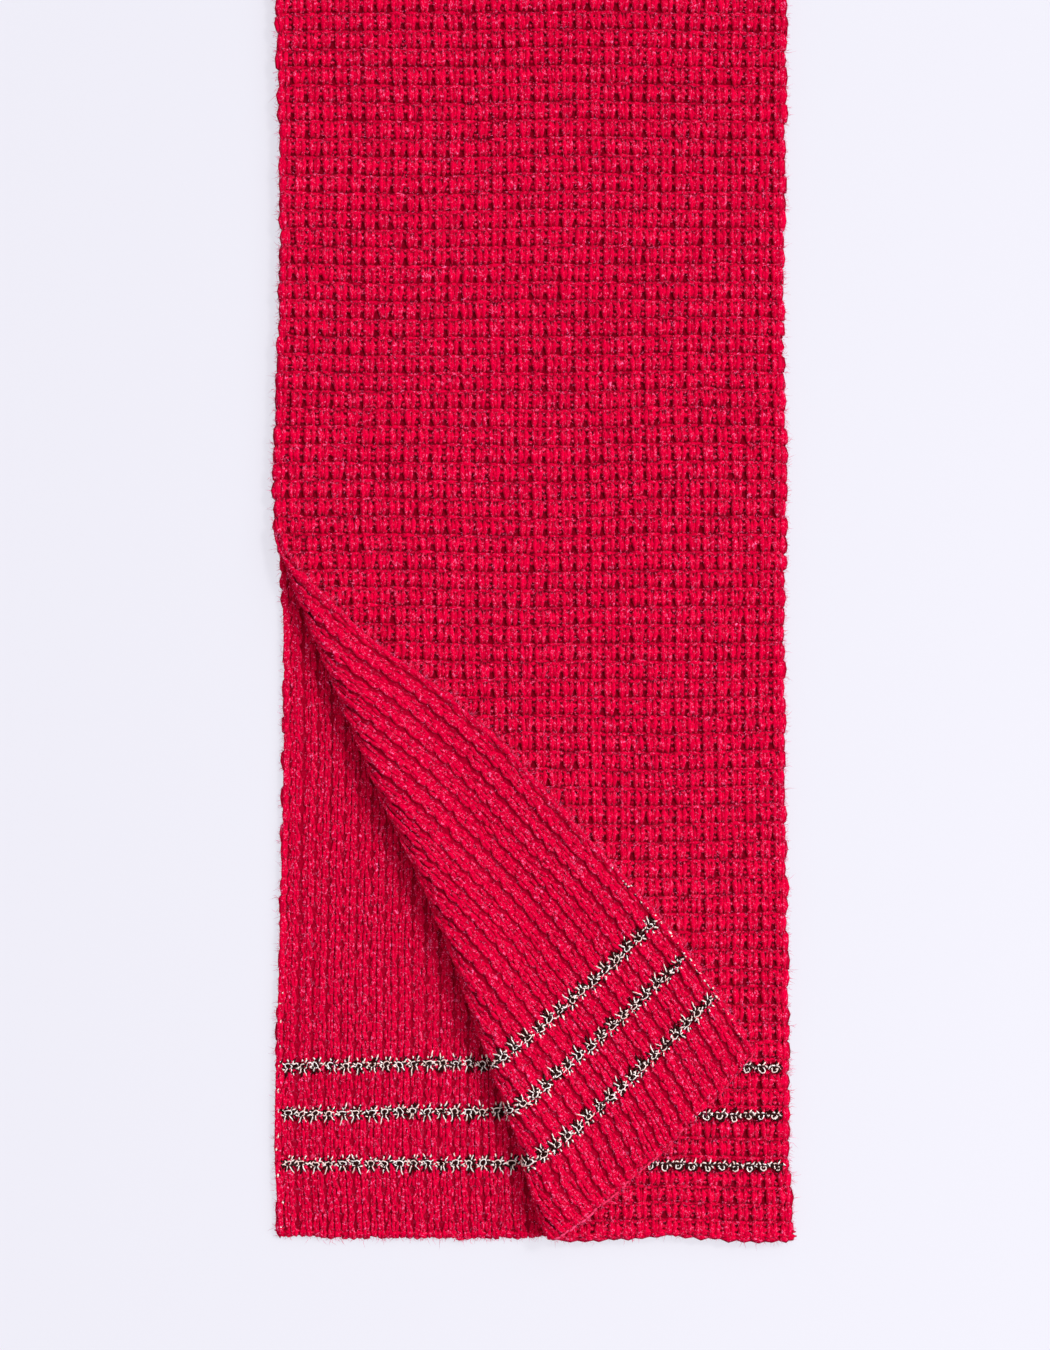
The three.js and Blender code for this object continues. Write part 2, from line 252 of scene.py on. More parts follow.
def upper_middle(x, y):
    """The middle of the upper cloth, from its hem to the far side of the bend."""
    beyond = np.maximum(0, y - BEND_UPPER_Y)
    laid = turned_point(x, np.minimum(y, BEND_UPPER_Y))
    bent = xyz(x, np.interp(beyond, BEND_LENGTH, BEND_YS), np.interp(beyond, BEND_LENGTH, BEND_ZS))
    return np.where((beyond > 0)[..., None], bent, laid)


def lay(middle, u, v, w):
    """Cloth places u, v and heights w over the waffle face, laid out in space."""
    step = 0.02
    du = middle(u + step, v) - middle(u - step, v)
    dv = middle(u, v + step) - middle(u, v - step)
    return middle(u, v) + unit(np.cross(du, dv)) * w[..., None]


def lay_upper(u, v, w):
    return lay(upper_middle, u, v, w)


def lay_lower(u, v, w):
    """The lower layer lies the other way up: its waffle face is underneath."""
    return xyz(u, v, LOWER_MID - w)


def knit_wave(u, v):
    """How far the knitted rows and wales wander from straight, in each direction."""
    fade = smooth((v - HEM_Y) / 60) * 0.8 + 0.2
    dv = 0.5 * np.sin(u / 31 + v / 83) + 0.3 * np.sin(u / 17 - v / 41 + 1.7)
    du = 0.25 * np.sin(v / 23 + u / 57) + 0.15 * np.sin(v / 11 - u / 29 + 0.6)
    edge = smooth((u + 114) / 12) * smooth((114 - u) / 12)
    near_hem = np.exp((HEM_Y - v) / 16)
    hem = 2.4 * np.exp(-(((u - 62) / 24) ** 2)) + 2.2 * np.exp(-(u + 117) / 8)
    hem = hem + 0.35 * np.sin(u / 3.1) * np.sin(u / 11 + 1)
    return du * edge * fade, dv * fade + hem * near_hem


def add_object(name, data):
    obj = bpy.data.objects.new(name, data)
    bpy.context.scene.collection.objects.link(obj)
    return obj


def store(mesh, key, values):
    """Stores a named value on each point of a mesh, for its material to read."""
    attribute = mesh.attributes.new(key, "FLOAT", "POINT")
    attribute.data.foreach_set("value", np.asarray(values, np.float32))


def mesh_object(name, points, quads, tris, values):
    """A smooth mesh object from arrays in millimetres, with named values per point."""
    mesh = bpy.data.meshes.new(name)
    mesh.vertices.add(len(points))
    mesh.vertices.foreach_set("co", (np.asarray(points, np.float32) * MM).ravel())
    corners = np.concatenate([quads.ravel(), tris.ravel()]).astype(np.int32)
    mesh.loops.add(len(corners))
    mesh.loops.foreach_set("vertex_index", corners)
    starts = [np.arange(len(quads)) * 4, len(quads) * 4 + np.arange(len(tris)) * 3]
    starts = np.concatenate(starts).astype(np.int32)
    mesh.polygons.add(len(starts))
    mesh.polygons.foreach_set("loop_start", starts)
    mesh.polygons.foreach_set("use_smooth", np.ones(len(starts), bool))
    for key, value in values.items():
        store(mesh, key, value)
    mesh.update(calc_edges=True)
    return add_object(name, mesh)


def strands(paths, radii, sides):
    """Closed tubes with pointed ends along paths of shape (tubes, stations, 3).
    Returns points, quads, tris and the number of points of one tube."""
    count, stations, _ = paths.shape
    radii = np.broadcast_to(radii, (count, stations))[..., None]
    tangent = unit(np.gradient(paths, axis=1))
    across = unit(np.cross(tangent, np.array([0.05, 0.03, 1.0])))
    out = np.cross(across, tangent)
    angles = (np.arange(sides) * 2 * math.pi / sides + math.pi / 2)[:, None]
    inner = (slice(None), slice(1, stations - 1), None)
    rings = paths[inner] + np.cos(angles) * (across * radii)[inner]
    rings = (rings + np.sin(angles) * (out * radii)[inner]).reshape(count, -1, 3)
    points = np.concatenate([paths[:, :1], rings, paths[:, -1:]], axis=1)
    per_tube = points.shape[1]
    side = np.arange(sides)
    turn = (side + 1) % sides
    last_ring = 1 + (stations - 3) * sides
    first = np.stack([side * 0, 1 + side, 1 + turn], axis=-1)
    last = np.stack([side * 0 + per_tube - 1, last_ring + turn, last_ring + side], axis=-1)
    ring = np.arange(stations - 3)[:, None] * sides + 1
    near, far = ring + side, ring + sides + side
    body = np.stack([near, far, ring + sides + turn, ring + turn], axis=-1).reshape(-1, 4)
    offset = (np.arange(count) * per_tube)[:, None, None]
    quads = (body + offset).reshape(-1, 4)
    tris = (np.concatenate([first, last]) + offset).reshape(-1, 3)
    return points.reshape(-1, 3), quads, tris, per_tube


class StrandBatch:
    """Collects tubes in cloth places, then lays them all as one joined mesh."""

    def __init__(self, rng):
        self.rng = rng
        self.parts = []

    def add(self, paths, radii, sides=5, tone=None, kind=0.0):
        """Adds a tube along each path. Kind is 0 for yarn, and 1 for loose fibres and for the metallic
        yarn's dark strands, which are partly dark filament and partly painted shade.
        """
        points, quads, tris, per_tube = strands(paths, radii, sides)
        if tone is None:
            tone = self.rng.random(len(paths))
        tone = np.repeat(tone, per_tube)
        self.parts.append((points, quads, tris, tone, np.full(len(points), kind)))

    def build(self, name, laying):
        points, quads, tris, tone, kind = zip(*self.parts)
        starts = np.cumsum([0, *map(len, points[:-1])])
        quads = np.concatenate([part + start for part, start in zip(quads, starts)])
        tris = np.concatenate([part + start for part, start in zip(tris, starts)])
        u, v, w = np.concatenate(points).T
        du, dv = knit_wave(u, v)
        values = {
            "tone": np.concatenate(tone),
            "kind": np.concatenate(kind),
            # How far a point lies from the cloth's middle; the wool material paints shade where it is
            # low.
            "lift": np.abs(w) / HALF_CLOTH,
        }
        return mesh_object(name, laying(u + du, v + dv, w), quads, tris, values)


WAFFLE_HAIRS = {"length": 1.9, "radius": 0.17, "side": 1.0}
RIB_HAIRS = {"length": 1.5, "radius": 0.13, "side": -1.0}


def hairs_on(batch, paths, radii, each, length, radius, side):
    """Adds short loose fibres over tubes: each one a bent splinter that lies on its tube,
    on the side of the cloth that shows."""
    rng = batch.rng
    count, stations, _ = paths.shape
    tube = np.repeat(np.arange(count), each)
    total = len(tube)
    at = rng.uniform(0.12, 0.88, total) * (stations - 1)
    low = np.floor(at).astype(int)
    part = (at - low)[:, None]
    base = paths[tube, low] * (1 - part) + paths[tube, low + 1] * part
    thick = np.interp(at, np.arange(stations), radii)[:, None]
    out = rng.normal(0, 1, (total, 3)) * (0.75, 0.75, 0.45)
    out[:, 2] = (np.abs(out[:, 2]) + 0.45) * side
    out = unit(out)
    base = base + out * thick * 1.02
    way = rng.normal(0, 1, (total, 3)) * (1, 1, 0.3)
    way = unit(way - out * (way * out).sum(1, keepdims=True) * 0.8)
    reach = rng.uniform(0.45, 1.25, (total, 1)) * length
    bend = np.cross(way, out) * rng.normal(0, 0.22, (total, 1)) * reach
    middle = base + way * reach * 0.5 + bend + out * 0.12 * reach
    hairs = np.stack([base - out * 0.1, middle, base + way * reach], axis=1)
    batch.add(hairs, np.array([0, radius, 0]), sides=3, kind=1.0)


def knit_rows(first_y, last_y):
    """Middles, pitches and depths of the knitted rows between two places up the cloth."""
    rows = []
    start = 0.0
    for level, count in METAL_ROWS:
        pitch = (level - METAL_HEIGHT / 2 - start) / count
        rows += [(HEM_Y + start + pitch * (i + 0.5), pitch, 0.0) for i in range(count)]
        rows.append((HEM_Y + level, METAL_HEIGHT, METAL_SINK))
        start = level + METAL_HEIGHT / 2
    y = HEM_Y + start
    while y < CLOTH_END_Y:
        rows.append((y + ROW_PITCH / 2, ROW_PITCH, 0.0))
        y += ROW_PITCH
    return np.array([row for row in rows if first_y <= row[0] < last_y]).T


def across_at(fraction, y):
    """X of a fraction of the scarf's width, which follows its wandering edges."""
    left = side_at("left", y)
    return left + fraction * (side_at("right", y) - left)


def place(template, centres, scales, jitter, rng):
    """Copies of a path template (stations, 3) at centres, each scaled and unsettled."""
    paths = template[None] * scales[:, None, :] + centres[:, None, :]
    return paths + rng.normal(0, 1, paths.shape) * jitter


def keep_inside(paths, margin=1.6):
    """Holds tube paths back from the selvedges."""
    v = paths[..., 1]
    low = side_at("left", v) + margin
    high = side_at("right", v) - margin
    paths[..., 0] = np.clip(paths[..., 0], low, high)


def turned_outline():
    """The turned corner's edge as seen from above: its selvedge, then its hem."""
    ys = np.linspace(TURN_TOP_Y, HEM_Y, 160)
    side = upper_middle(side_at("left", ys), ys)
    xs = np.linspace(SIDES["left"][0], 10, 120)
    hem = upper_middle(xs, np.full_like(xs, HEM_Y))
    return np.concatenate([side, hem])[:, :2]


def inside_by(points, outline):
    """How deep each point is inside a closed outline, negative outside."""
    following = np.roll(outline, -1, axis=0)
    px, py = points.T
    inside = np.zeros(len(points), bool)
    nearest = np.full(len(points), 1e9)
    for (ax, ay), (ex, ey), by in zip(outline, following - outline, following[:, 1]):
        at = ax + (py - ay) * ex / (ey if abs(ey) > 1e-9 else 1e-9)
        inside ^= ((ay > py) != (by > py)) & (px < at)
        t = np.clip(((px - ax) * ex + (py - ay) * ey) / max(ex * ex + ey * ey, 1e-12), 0, 1)
        nearest = np.minimum(nearest, np.hypot(px - ax - t * ex, py - ay - t * ey))
    return np.where(inside, nearest, -nearest)


OUTLINE = turned_outline()
HIDDEN_DEPTH = 8.0

# Strands of one waffle block: points, radii, and whether loose fibres lie on it. They are its
# two legs, what is between them, the ridge under it, the two bridges to the next block, and the
# one that closes some of the pits.
WAFFLE_LEG = [(-1.2, -5.3, -0.5), (-1.25, -2.0, 0.85), (-1.6, 1.5, 1.15), (-1.35, 5.2, -0.2)]
LEG_RADII = [0, 1.1, 1.25, 0]
WAFFLE_STRANDS = (
    (WAFFLE_LEG, LEG_RADII, True),
    ([(-x, y, z) for x, y, z in WAFFLE_LEG], LEG_RADII, False),
    ([(0, -4.8, 0.0), (0, -0.2, 0.72), (0, 4.6, 0.2)], [0, 1.4, 0], False),
    ([(-6.4, -4.1, -0.75), (0, -4.1, -0.55), (6.4, -4.1, -0.75)], [0, 1.85, 0], True),
    ([(0.8, 3.1, -0.3), (3.2, 3.0, -0.05), (5.6, 3.1, -0.3)], [0, 1.4, 0], False),
    ([(0.8, 0.6, -0.2), (3.2, 0.5, 0.05), (5.6, 0.6, -0.2)], [0, 1.5, 0], False),
    ([(1.2, -1.3, -0.3), (3.2, -1.9, -0.1), (5.2, -1.3, -0.3)], [0, 1.4, 0], False),
)
CLOSED_PITS = 0.5
STITCH_JITTER = 0.22
KNOTS_EACH = 4
KNOT_RADII = np.array([0, 0.72, 0])


def knots(batch, centres):
    """Short plump turns of yarn that lie over the blocks and ridges, mostly upright."""
    rng = batch.rng
    base = np.repeat(centres, KNOTS_EACH, axis=0)
    total = len(base)
    drop = rng.uniform(-4.2, 3.9, total)
    top = 0.7 + 0.65 * np.exp(-((drop / 3.0) ** 2))
    column = np.where(rng.random(total) < 0.5, -1.45, 1.45) + rng.normal(0, 0.5, total)
    base = base + xyz(column, drop, top + rng.normal(0, 0.12, total))
    angle = rng.normal(math.pi / 2, 0.75, total)
    half = rng.uniform(0.8, 1.6, total)
    way = xyz(np.cos(angle) * half, np.sin(angle) * half, 0)
    bow = xyz(-way[:, 1], way[:, 0], 0) * rng.normal(0, 0.3, (total, 1))
    sunk = np.array([0, 0, 0.75])
    paths = np.stack([base - way - sunk, base + bow, base + way - sunk], axis=1)
    keep_inside(paths)
    batch.add(paths, KNOT_RADII, sides=4)
    hairs_on(batch, paths, KNOT_RADII, 2, **WAFFLE_HAIRS)


def shown_upper(u, v):
    """Which places of the upper layer's waffle face can be seen."""
    laid = upper_middle(u, v)
    depth = inside_by(laid[:, :2], OUTLINE)
    along, across = to_crease(u, v)
    covered = np.where(along < 12, -1.0, 0.6 - math.pi / 2 * station_at("roll", along))
    rolled = (along > CREASE_START) & (past_turn(along, across) > covered)
    return (depth < HIDDEN_DEPTH) & ~rolled


def waffle_face(name, rng, first_y, last_y):
    """A stretch of the waffle face: its blocks, the ridges between, and their nap."""
    batch = StrandBatch(rng)
    rows = knit_rows(first_y, last_y)
    v, pitch, sink = np.repeat(rows, BLOCKS_ACROSS, axis=1)
    u = across_at(np.tile(middles(BLOCKS_ACROSS), rows.shape[1]), v)
    shown = shown_upper(u, v)
    u, v, pitch, sink = (values[shown] for values in (u, v, pitch, sink))
    count = len(u)
    swell = rng.normal(1, 0.045, count)
    lift = rng.normal(0, 0.12, count) - sink
    centres = xyz(u + rng.normal(0, 0.1, count), v + 0.3, lift)
    scales = xyz(swell, pitch / ROW_PITCH * rng.normal(1, 0.05, count), swell)
    closed = rng.random(count) < CLOSED_PITS
    for strand in WAFFLE_STRANDS:
        path, radii, has_hairs = strand
        kept = closed if strand is WAFFLE_STRANDS[-1] else slice(None)
        paths = place(np.array(path, float), centres[kept], scales[kept], STITCH_JITTER, rng)
        keep_inside(paths)
        batch.add(paths, radii, sides=4)
        if has_hairs:
            hairs_on(batch, paths, radii, 1, **WAFFLE_HAIRS)
    knots(batch, centres)
    return batch.build(name, lay_upper)


# One leg of a rib stitch, as heights from the cloth's middle, how far it is drawn aside round
# a hole, and how the ribs lie on each stretch that shows.
RIB_LEG = np.array([(0.25, -3.6, 0.6), (0.6, -1.5, 1.1), (0.8, 1.1, 1.2), (0.8, 3.6, 0.6)])
RIB_RADII = np.array([0, 0.87, 0.91, 0])
HOLE_PULL = np.array([0.2, 1.2, 0.5])
RIBS = {
    "lower": {"pair_step": 0.24, "lag": 0.0, "open_share": 0.85},
    "turned": {"pair_step": 0.4, "lag": 0.5, "open_share": 0.9},
}


def rib_places():
    """Places of the rib stitches of one half's whole reverse, two courses to a knitted row."""
    v, pitch, sink = np.repeat(knit_rows(HEM_Y, CLOTH_END_Y), 2, axis=1)
    course = np.arange(len(v))
    v = v + np.where(course % 2 == 0, -pitch, pitch) / 4
    wale = np.tile(np.arange(WALES_ACROSS), len(v))
    columns = (np.repeat(values, WALES_ACROSS) for values in (v, pitch / 2, sink, course))
    v, pitch, sink, course = columns
    return across_at((wale + 0.5) / WALES_ACROSS, v), v, pitch, wale, course, sink


def rib_face(name, rng, shown, laying, pair_step, lag, open_share):
    """The ribbed reverse where it shows, on the side away from the waffle face. pair_step
    is how far every other wale stands proud, lag how far the others lag behind it, as a
    share of a stitch, and open_share how many holes are open."""
    batch = StrandBatch(rng)
    stitches = rib_places()
    keep = shown(*stitches[:2])
    u, v, pitch, wale, course, sink = (values[keep] for values in stitches)
    count = len(u)
    upper_wale = wale % 2 == 0
    relief = 0.2 + 0.8 * smooth((to_crease(u, v)[0] - 5) / 30)
    proud = np.where(upper_wale, pair_step, -pair_step) + rng.normal(0, 0.1, WALES_ACROSS)[wale]
    proud = proud * relief - sink * 0.6
    beside = np.where(upper_wale, -0.6, 0.6) * pair_step * relief
    u = u + rng.normal(0, 0.12, WALES_ACROSS)[wale] + beside
    behind = np.where(upper_wale, 0, pitch * lag)
    v = v + behind + rng.normal(0, 0.25, WALES_ACROSS)[wale // 2]
    parted = ((course + wale // 2) % 2 == 0) & (rng.random(count) < open_share)
    for side in (-1, 1):
        inner = parted & (upper_wale == (side > 0))
        spread = [rng.normal(0, size, count) for size in (0.12, 0.3, 0.12)]
        centres = xyz(u, v, proud) + np.stack(spread, axis=-1)
        scales = xyz(1, pitch / (ROW_PITCH / 2), 1)
        paths = place(RIB_LEG * (side, 1, 1), centres, scales, 0.14, rng)
        paths[inner, 1:, 0] -= side * HOLE_PULL
        paths[..., 2] *= -1
        keep_inside(paths, 1.2)
        paths[..., 1] = np.maximum(paths[..., 1], HEM_Y + 0.9)
        # Random tone, kept lower on the sunk wales the more they sink: painted shade on the recessed
        # wales.
        tone = rng.random(count) * np.where(upper_wale, 0.6, 0.6 - pair_step * relief)
        batch.add(paths, RIB_RADII, tone=tone)
        hairs_on(batch, paths, RIB_RADII, 2, **RIB_HAIRS)
    return batch.build(name, laying)


# How far stitches go on past what shows: up the crease, under it, and round the roll.
LOWER_FROM = -22.0
TURNED_FROM = -25.0
UNDER_CREASE = 4.0
ROUND_ROLL = 3.0


def lower_shown(u, v):
    """Which places of the lower layer's reverse can be seen."""
    along, across = to_crease(u, v)
    return (along > LOWER_FROM) & (across < station_at("bow", along) + UNDER_CREASE)


def turned_shown(u, v):
    """Which places of the upper layer's reverse can be seen, on its turned corner."""
    along, across = to_crease(u, v)
    under = past_turn(along, across) > -math.pi / 2 * station_at("roll", along) - ROUND_ROLL
    return (v < TURN_TOP_Y + 6) & under & (along > TURNED_FROM)


def shell(name, laying, cells, lengths, height, thickness, shade_lifts):
    """The cloth under the stitches: a grid laid out on its form, then given its thickness. lengths
    gives places down the cloth for shares of the grid, height is the middle's height towards the
    waffle face, and shade_lifts give each side's lift, which sets how much painted shade the wool
    material lays on that side."""
    bpy.ops.mesh.primitive_grid_add(x_subdivisions=cells[0], y_subdivisions=cells[1], size=2)
    obj = bpy.context.active_object
    obj.name = name
    corners = np.empty(len(obj.data.vertices) * 3)
    obj.data.vertices.foreach_get("co", corners)
    share = (corners.reshape(-1, 3)[:, :2] + 1) / 2
    v = np.interp(share[:, 1], *zip(*lengths))
    u = across_at(share[:, 0], v) + EDGE_INSET * (1 - 2 * share[:, 0])
    du, dv = knit_wave(u, v)
    laid = laying(u + du, v + dv, np.full_like(u, height))
    obj.data.vertices.foreach_set("co", (laid * MM).ravel())
    wall = obj.modifiers.new("Wall", "SOLIDIFY")
    wall.thickness = thickness * MM
    wall.offset = 0
    bpy.ops.object.modifier_apply(modifier=wall.name)
    bpy.ops.object.shade_smooth()
    half = len(obj.data.vertices) // 2
    store(obj.data, "tone", np.full(2 * half, 0.5))
    # Each side's lift sets how much painted shade the wool material lays on it.
    store(obj.data, "lift", np.repeat(shade_lifts, half))
    bpy.ops.object.select_all(action="DESELECT")
    return obj


# A selvedge stitch: shares of its length along the edge, and of its reach outwards.
EDGE_BUMP = np.array([(-0.62, -0.5), (-0.4, 0.05), (0.0, 0.32), (0.4, 0.05), (0.62, -0.5)])
BUMP_RADII = np.array([0, 0.8, 1.0, 0.8, 0]) * 1.5
RIM_RADII = np.array([0, 0.5, 0.5, 0])
HALO_RADII = np.array([0, 0.085, 0])
HALO_LENGTH = 3.4


def hem_highlight_rim(batch):
    """Adds the broken cast-on strand that shows along the turned corner's hem, paler further along it:
    painted highlight where the hem's edge catches the light.
    """
    rng = batch.rng
    u = np.arange(float(side_at("left", HEM_Y)) + 2.5, 0, 2.4)
    u = u[turned_shown(u, np.full_like(u, HEM_Y))]
    u = u[rng.random(len(u)) < np.linspace(0.15, 1.0, len(u))]
    count = len(u)
    middle = xyz(u, HEM_Y + 0.35, -1.55) + rng.normal(0, 0.22, (count, 3))
    half = np.array([1.9, 0, 0])
    paths = np.stack([middle - half, middle - half / 3, middle + half / 3, middle + half], axis=1)
    # Paler further along the hem: painted highlight on its lit edge.
    tone = np.linspace(0.0, 0.26, count) + rng.uniform(0, 0.12, count)
    batch.add(paths, RIM_RADII, sides=4, tone=tone, kind=1.0)


def edge_chain(name, rng, laying, last_y, reach, has_highlight_rim):
    """The edges of one layer: a plump stitch for each row up its selvedges and each wale
    along its hem, the yarn that fills the edge behind them, and a halo of fine fibres."""
    batch = StrandBatch(rng)
    if has_highlight_rim:
        hem_highlight_rim(batch)
    along_share, out_share = EDGE_BUMP.T
    for u, v, outward, pitch, fibres in edge_places(last_y):
        count = len(u)
        outward = np.array(outward)
        ahead = np.abs(outward[[1, 0, 2]])
        centres = xyz(u, v, rng.normal(0, 0.15, count))
        centres += outward * rng.uniform(-0.9, 0.5, (count, 1))
        path = ahead * (along_share * pitch[:, None])[..., None]
        path = (path + outward * out_share[:, None] * reach) * rng.normal(1, 0.12, (count, 1, 1))
        paths = centres[:, None] + path + rng.normal(0, 0.2, path.shape)
        batch.add(paths, BUMP_RADII * rng.uniform(0.8, 1.1, (count, 1)))
        run = ahead * pitch[:, None]
        for height in (-0.75, 0.75):
            inner = centres - outward * 1.1
            inner[:, 2] = height
            fill = np.stack([inner - run, inner, inner + run], axis=1)
            fill[..., 1] = np.maximum(fill[..., 1], HEM_Y + 1.4)
            batch.add(fill, np.array([0, 1.4, 0]), sides=4)
        halo(batch, paths, outward, fibres)
    return batch.build(name, laying)


def halo(batch, paths, outward, each):
    """Adds fine fibres that stand out from an edge's stitches."""
    rng = batch.rng
    count, stations, _ = paths.shape
    stitch = np.repeat(np.arange(count), each)
    total = len(stitch)
    base = paths[stitch, rng.integers(1, stations - 1, total)]
    base = base + rng.normal(0, 0.6, (total, 3))
    way = unit(outward + rng.normal(0, 0.6, (total, 3)))
    reach = rng.uniform(0.5, 1.0, (total, 1)) ** 2 * HALO_LENGTH
    curl = rng.normal(0, 0.35, (total, 3)) * reach
    fibres = np.stack([base, base + way * reach * 0.55, base + way * reach + curl], axis=1)
    fibres[..., 2] = np.clip(fibres[..., 2], -1.9, 1.9)
    batch.add(fibres, HALO_RADII, sides=3, kind=1.0)


def edge_places(last_y):
    """Places of one layer's edge stitches, their way out, their pitch and their fibres, up
    both selvedges and along the hem."""
    v, pitch, _ = knit_rows(HEM_Y, last_y)
    hem_v = np.full(WALES_ACROSS, HEM_Y + 1.2)
    hem_u = across_at(middles(WALES_ACROSS), hem_v)
    hem_pitch = (side_at("right", hem_v) - side_at("left", hem_v)) / WALES_ACROSS
    inset = 1.1
    return [
        (side_at("left", v) + inset, v, (-1.0, 0.0, 0.0), pitch, 26),
        (side_at("right", v) - inset, v, (1.0, 0.0, 0.0), pitch, 26),
        (hem_u, hem_v, (0.0, -1.0, 0.0), hem_pitch, 13),
    ]


# Strands of one metallic stitch as light and dark templates: points and radii. The dark ones lie under
# and between the light film, partly black filament and partly painted shade. On the reverse it is a
# ring with two legs below and a short one above, and on the face a hanging loop. Floats join it to the
# next stitch.
REVERSE_LIGHT = [
    ([(-0.5, -0.9, 0.5), (-1.4, -0.3, 0.75), (-1.2, 0.8, 0.8), (0.1, 1.2, 0.85),
      (1.3, 0.7, 0.8), (1.3, -0.4, 0.75), (0.3, -1.0, 0.6)], 0.3),
    ([(-0.5, -0.8, 0.6), (-0.8, -2.0, 0.6), (-1.1, -3.1, 0.5), (-1.7, -4.5, 0.1)], 0.3),
    ([(0.6, -0.7, 0.6), (1.0, -1.9, 0.6), (1.5, -2.9, 0.5), (2.1, -4.2, 0.1)], 0.3),
    ([(1.2, 1.3, 0.3), (1.6, 2.2, 0.6), (2.0, 3.0, 0.6), (2.4, 4.1, 0.1)], 0.34),
    ([(1.3, 0.6, 0.5), (2.2, 1.0, 0.6), (3.2, 0.9, 0.2)], 0.34),
    ([(2.6, -0.9, 0.3), (3.5, -0.4, 0.6), (4.7, 0.5, 0.3)], 0.36),
    ([(-2.7, 1.4, 0.3), (-1.9, 0.8, 0.7), (-1.1, 0.2, 0.3)], 0.34),
    ([(-0.2, 2.0, 0.3), (-0.3, 2.8, 0.55), (-0.5, 3.6, 0.2)], 0.34),
    ([(-2.9, -0.4, 0.3), (-2.1, -0.9, 0.6), (-1.3, -1.3, 0.2)], 0.34),
]
REVERSE_DARK_AND_SHADE = [
    ([(-0.9, 0.1, 0.2), (0.0, 0.1, 0.45), (0.9, 0.1, 0.2)], 0.6),
    ([(-4.6, 0.8, -0.5), (-2.4, 0.8, -0.4), (2.4, 0.8, -0.4), (4.6, 0.8, -0.5)], 1.05),
    ([(-4.6, -0.7, -0.5), (-2.4, -0.7, -0.4), (2.4, -0.7, -0.4), (4.6, -0.7, -0.5)], 1.05),
    ([(-0.1, -1.0, 0.0), (0.1, -2.0, 0.35), (0.2, -3.6, -0.1)], 0.75),
    ([(0.8, 1.2, 0.0), (1.2, 2.4, 0.4), (1.6, 3.8, 0.0)], 0.6),
    ([(-1.4, -0.9, 0.0), (-1.8, -1.9, 0.3), (-2.2, -3.1, -0.1)], 0.5),
    ([(1.7, -0.9, 0.0), (2.4, -1.9, 0.3), (2.9, -2.9, -0.1)], 0.5),
]
FACE_LIGHT = [
    ([(-0.9, 0.1, 0.3), (-1.2, -0.8, 0.7), (-0.9, -1.8, 0.8), (0.1, -2.3, 0.8),
      (1.0, -1.7, 0.8), (1.1, -0.8, 0.7), (0.5, 0.1, 0.3)], 0.34),
    ([(0.5, 0.2, 0.3), (1.1, 1.1, 0.6), (1.9, 2.3, 0.0)], 0.38),
    ([(-3.6, -0.9, 0.1), (-2.9, 0.1, 0.6), (-2.3, 1.2, 0.1)], 0.38),
    ([(1.6, 0.9, 0.1), (2.4, 0.0, 0.7), (3.3, -0.8, 0.1)], 0.38),
    ([(-1.9, 0.2, 0.3), (-1.0, 0.9, 0.75), (0.2, 0.6, 0.3)], 0.38),
    ([(-0.4, -0.6, 0.5), (0.0, -1.0, 0.75), (0.5, -0.6, 0.5)], 0.28),
]
FACE_DARK_AND_SHADE = [
    ([(0.0, 0.3, 0.1), (0.0, -1.1, 0.5), (0.0, -2.4, 0.1)], 0.95),
    ([(-4.6, 0.3, -0.6), (-2.4, 0.2, -0.5), (2.4, 0.2, -0.5), (4.6, 0.3, -0.6)], 1.3),
    ([(0.2, 1.0, 0.0), (0.6, 1.9, 0.35), (0.9, 3.1, 0.0)], 0.6),
    ([(-2.0, 0.2, 0.0), (-2.2, -0.9, 0.3), (-1.9, -2.2, 0.0)], 0.55),
    ([(2.0, 0.2, 0.0), (2.2, -0.9, 0.3), (1.9, -2.2, 0.0)], 0.55),
]


def rounded(points):
    """A path with a station more between each two, on a smooth curve through its own."""
    points = np.array(points, float)
    at = np.linspace(0, len(points) - 1, 2 * len(points) - 1)
    low = np.minimum(at.astype(int), len(points) - 2)
    t = (at - low)[:, None]
    first = 2 * points[:1] - points[1:2]
    last = 2 * points[-1:] - points[-2:-1]
    ends = np.concatenate([first, points, last])
    a, b, c, d = (ends[low + k] for k in range(4))
    rise = (2 * a - 5 * b + 4 * c - d) * t**2 + (3 * b - a - 3 * c + d) * t**3
    return (2 * b + (c - a) * t + rise) / 2


METAL_LIFT = 1.5
FLOAT_LIFT = 1.7
FLOAT_WAY = np.array([0.15, 1.0, 0.0])
LEANS_LEFT = 0.15


def metal_units(level):
    """Places of the metallic stitches of one row, from selvedge to selvedge."""
    y = HEM_Y + level
    low = float(side_at("left", y)) + 3.0
    high = float(side_at("right", y)) - 3.0
    count = round((high - low) / METAL_PITCH)
    u = low + (np.arange(count) + 0.5) * (high - low) / count
    return u, np.full(count, y)


